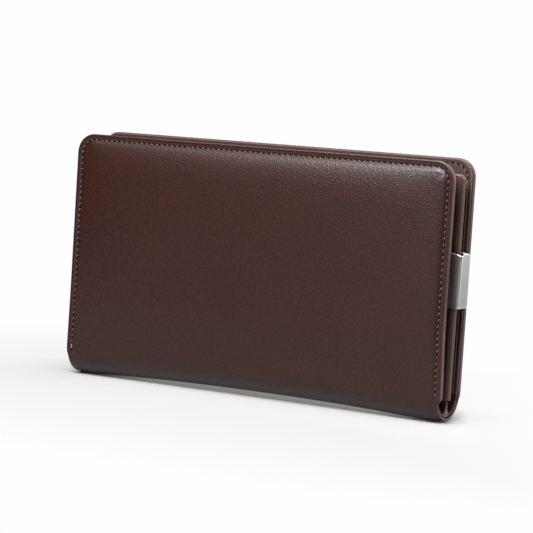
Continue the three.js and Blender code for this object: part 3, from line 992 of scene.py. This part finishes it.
def make_page():
    centre, nx, ny = page_loop()
    z_lines = graded(PAGE_LOW.z, PAGE_HIGH.z, PAGE_LINES, PANEL_STEP)
    centre, z = np.meshgrid(centre, z_lines, indexing="ij")
    nx, ny = nx[:, None] + 0 * z, ny[:, None] + 0 * z
    x = centre + nx * PAGE_HALF
    in_from_side = HALF_WIDTH - np.abs(x - MIDDLE_X)
    top_edge, foot_edge = PAGE_HIGH.z - z, z - PAGE_LOW.z
    edge = np.minimum(in_from_side, top_edge)
    pinch = PAGE_PINCH * hump(PAGE_SEAM, 1.1 * MM, edge) * np.abs(ny)
    puff = PAGE_PUFF * smooth(8 * MM, 40 * MM, edge)
    lip = fold_edge(np.minimum(top_edge, foot_edge), EDGE_ROUND)
    out = PAGE_HALF - pinch + puff - lip
    within = PAGE_HALF - PAGE_WALL - pinch * 0.6 + lip
    corner = PAGE_CORNER * (1 - smooth(0, 2 * PAGE_CORNER, in_from_side))
    corner = corner * smooth(PAGE_HIGH.z - 9 * MM, PAGE_HIGH.z, z)
    outer = np.stack([centre + nx * out, PAGE_MIDDLE + ny * out, z - corner], axis=-1)
    inner = np.stack([centre + nx * within, PAGE_MIDDLE + ny * within, z - corner], axis=-1)
    girth = np.cumsum(np.hypot(*(np.diff(outer[:, 0, :2], axis=0, prepend=outer[:1, 0, :2]).T)))
    flat = np.stack([girth[:, None] + 0 * z, z + 3, 0 * z], axis=-1)
    # Painted light on the page: a painted highlight along its top edge and round its folds, painted shade on
    # its faces near its ends, between the covers, and along its seam.
    top_light = 0.95 * (1 - smooth(0.1 * MM, 0.6 * MM, top_edge))
    fold_light = 0.45 * (1 - smooth(0.25, 0.9, np.abs(ny))) * (1 - smooth(0.5 * MM, 2.6 * MM, in_from_side))
    margin_painted_light = -0.95 * smooth(0.5, 1.0, np.abs(ny)) * (1 - smooth(PAGE_SEAM, PAGE_SEAM + 1 * MM, in_from_side))
    tone = np.maximum(top_light, fold_light + margin_painted_light) - 0.4 * hump(PAGE_SEAM, 0.5 * MM, edge) * np.abs(ny)
    page = shell("page_leather", outer, inner, flat, tone, closed=True)
    dress(page, "inner_leather")
    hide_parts("page_sleeve")
    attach(page, "middle_page")
    line = SeamLine(
        LEFT + PAGE_SEAM, RIGHT - PAGE_SEAM, PAGE_LOW.z + 3 * MM, PAGE_HIGH.z - PAGE_SEAM, 2 * MM,
    )
    for label, facing in (("front", -1), ("rear", 1)):
        face = PAGE_MIDDLE + facing * (PAGE_HALF - PAGE_GROOVE)
        thread, holes = sew(f"page_stitches_{label}", line, face, facing)
        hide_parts(f"page_thread_{label}")
        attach(thread, "middle_page")
        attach(holes, "middle_page")


ANCHOR_INSET = 1.4 * MM
ANCHOR_FLANGE = 3.4 * MM  # how far its foot spreads on the spine, to each side, and how high


def make_anchor():
    """The leather strip that is sewn to the spine and goes up into the page's foot."""
    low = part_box("page_anchor_strip")[0]
    foot_z, top = low.z - 0.4 * MM, PAGE_LOW.z + 4 * MM
    x_lines = graded(LEFT + ANCHOR_INSET, RIGHT - ANCHOR_INSET, PANEL_EDGES, PANEL_STEP)
    z_lines = np.linspace(foot_z, top, 18)
    x, z = np.meshgrid(x_lines, z_lines, indexing="ij")
    lifted = z + spine_bow(x, z)
    half = 0.5 * MM + 0.7 * MM * (1 - smooth(low.z + 2 * MM, PAGE_LOW.z - 0.5 * MM, z))
    foot = ANCHOR_FLANGE * (1 - smooth(foot_z, low.z + ANCHOR_FLANGE, z)) ** 2
    edge = np.minimum(x - x_lines[0], x_lines[-1] - x)
    fall = fold_edge(edge, EDGE_ROUND)
    outer = np.stack([x, PAGE_MIDDLE - half - foot + fall, lifted], axis=-1)
    inner = np.stack([x, PAGE_MIDDLE + half + foot - fall, lifted], axis=-1)
    flat = np.stack([x, z + 7, 0 * x], axis=-1)
    # Paler along its edges: wear and painted highlight.
    tone = 0.6 * (1 - smooth(0.1 * MM, 0.6 * MM, edge))
    anchor = shell("page_anchor", outer, inner, flat, tone)
    dress(anchor, "inner_leather")
    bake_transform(anchor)
    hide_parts("page_anchor_strip")


make_page()
make_anchor()

# ---------------------------------------------------------------- the clip

CLIP_LOW, CLIP_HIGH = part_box("money_clip")
CLIP_SHEET = 0.8 * MM
CLIP_BEND = 1.0 * MM
CLIP_HALF = 5.2 * MM
CLIP_PINCH = PAGE_HALF + 0.55 * MM + CLIP_SHEET / 2  # half the gap between the arms' middle lines
CLIP_GRIP = 16 * MM  # how far in from its nose it grips
CLIP_FLARE = 0.9 * MM
CLIP_NOSE_BACK = 0.5 * MM
CLIP_NOTCH, CLIP_NOTCH_WIDTH = 0.9 * MM, 1.7 * MM
CLIP_TIP = 2.2 * MM  # the rounding of each arm's free end
CLIP_DROP = 1.2 * MM  # how far the clip reaches below the box of the CAD one
CLIP_TAIL_POINTS, CLIP_SPREAD_POINTS = 7, 14  # along each arm, where it grips and where it widens
CLIP_BEND_STEPS = 8


def clip_line():
    """The middle line of the clip's sheet, seen from above, from one arm's tip to the other's."""
    nose = CLIP_HIGH.x - CLIP_SHEET / 2 - CLIP_NOSE_BACK
    tip = CLIP_LOW.x
    grip = CLIP_HIGH.x - CLIP_GRIP
    half = CLIP_HALF - CLIP_SHEET / 2
    radius = CLIP_BEND - CLIP_SHEET / 2
    arm = []
    tail = np.linspace(tip, grip, CLIP_TAIL_POINTS, endpoint=False)
    for x in np.concatenate([tail, np.linspace(grip, nose - radius, CLIP_SPREAD_POINTS)]):
        flare = CLIP_FLARE * (1 - smooth(tip, grip, x))
        spread = (half - CLIP_PINCH) * smooth(grip, nose - radius, x)
        arm.append((x, -(CLIP_PINCH + flare + spread)))
    bend = []
    for k in range(1, CLIP_BEND_STEPS):
        angle = math.pi / 2 * k / CLIP_BEND_STEPS
        bend.append((nose - radius + radius * math.sin(angle), -half + radius - radius * math.cos(angle)))
    face = [(nose, y) for y in np.linspace(-half + radius, half - radius, 15)]
    front = arm + bend
    rear = [(x, -y) for x, y in front[::-1]]
    return np.array(front + face + rear)


def make_clip():
    line = clip_line()
    step = np.gradient(line, axis=0)
    step /= np.linalg.norm(step, axis=1)[:, None]
    normal = np.stack([step[:, 1], -step[:, 0]], axis=1)
    along = np.concatenate([[0], np.cumsum(np.linalg.norm(np.diff(line, axis=0), axis=1))])
    total = along[-1]
    mid_bend = along[CLIP_TAIL_POINTS + CLIP_SPREAD_POINTS + CLIP_BEND_STEPS // 2 - 1]
    notches = hump(mid_bend, CLIP_NOTCH_WIDTH, along) + hump(total - mid_bend, CLIP_NOTCH_WIDTH, along)
    tips = fold_edge(along, CLIP_TIP) + fold_edge(total - along, CLIP_TIP)
    top = CLIP_HIGH.z - CLIP_NOTCH * notches - tips
    foot = CLIP_LOW.z - CLIP_DROP + tips
    half, middle = (top - foot) / 2, (top + foot) / 2
    rim = np.array([0, 0.06, 0.15, 0.3, 0.6, 1.2, 2.4]) * MM
    v = graded(-1, 1, rim / (CLIP_HIGH.z - CLIP_LOW.z) * 2, 0.12)[None, :]
    z = middle[:, None] + half[:, None] * v
    from_rim = half[:, None] * (1 - np.abs(v))
    out = CLIP_SHEET / 2 - fold_edge(from_rim, 0.3 * MM)

    def place(offset):
        x = line[:, 0:1] + normal[:, 0:1] * offset
        y = PAGE_MIDDLE + line[:, 1:2] + normal[:, 1:2] * offset
        return np.stack([x + 0 * z, y + 0 * z, z], axis=-1)

    flat = np.stack([along[:, None] + 0 * z, z, 0 * z], axis=-1)
    # Paler along its rims: a painted highlight.
    tone = 0.6 * (1 - smooth(0.1 * MM, 0.35 * MM, from_rim))
    clip = shell("steel_clip", place(out), place(-out), flat, tone)
    dress(clip, "steel")
    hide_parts("money_clip")
    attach(clip, "clip")


make_clip()

# ---------------------------------------------------------------- hidden stiffeners and padding

PAD_EDGES = np.array([0, 0.5, 1.5, 3, 5, 8]) * MM
PAD_STEP = 5 * MM
PAD_ROUND = 1.2 * MM
PAD_BACK = RIM - HIDE_AT_RIM + 1.0 * MM
PAD_THINNEST = 0.3 * MM


def make_pad(cover):
    """The foam under a cover's hide, crowned as the hide over it is."""
    low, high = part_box(f"{cover.label}_foam_pad")
    x_lines = graded(low.x, high.x, PAD_EDGES, PAD_STEP)
    z_lines = graded(low.z, high.z, PAD_EDGES, PAD_STEP)
    x, z = np.meshgrid(x_lines, z_lines, indexing="ij")
    swell = RIM - HIDE + crown(cover, x, z) - LAYER_GAP
    edge = np.minimum(np.minimum(x - low.x, high.x - x), np.minimum(z - low.z, high.z - z))
    face = cover.side * np.maximum(swell - fold_edge(edge, PAD_ROUND), PAD_BACK + PAD_THINNEST)
    outer = np.stack([x, face, z], axis=-1)
    inner = np.stack([x, cover.side * PAD_BACK + 0 * x, z], axis=-1)
    pad = shell(f"{cover.label}_padding", outer, inner, outer, 0 * x)
    dress(pad, "foam")
    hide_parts(f"{cover.label}_foam_pad")
    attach(pad, cover.body)


def make_spine_board():
    low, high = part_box("spine_board")
    x_lines = graded(low.x, high.x, PANEL_EDGES, PANEL_STEP)
    y_lines = np.linspace(low.y, high.y, 9)
    x, y = np.meshgrid(x_lines, y_lines, indexing="ij")
    lift = spine_bow(x, 0 * x)
    outer = np.stack([x, y, low.z + lift], axis=-1)
    inner = np.stack([x, y, high.z + lift], axis=-1)
    board = shell("spine_stiffener", outer, inner, outer, 0 * x)
    dress(board, "board")
    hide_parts("spine_board")
    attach(board, "spine")


for cover in (FRONT, REAR):
    make_pad(cover)
make_spine_board()
for node in ("front_board", "rear_board", "page_board"):
    dress(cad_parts[node], "board")
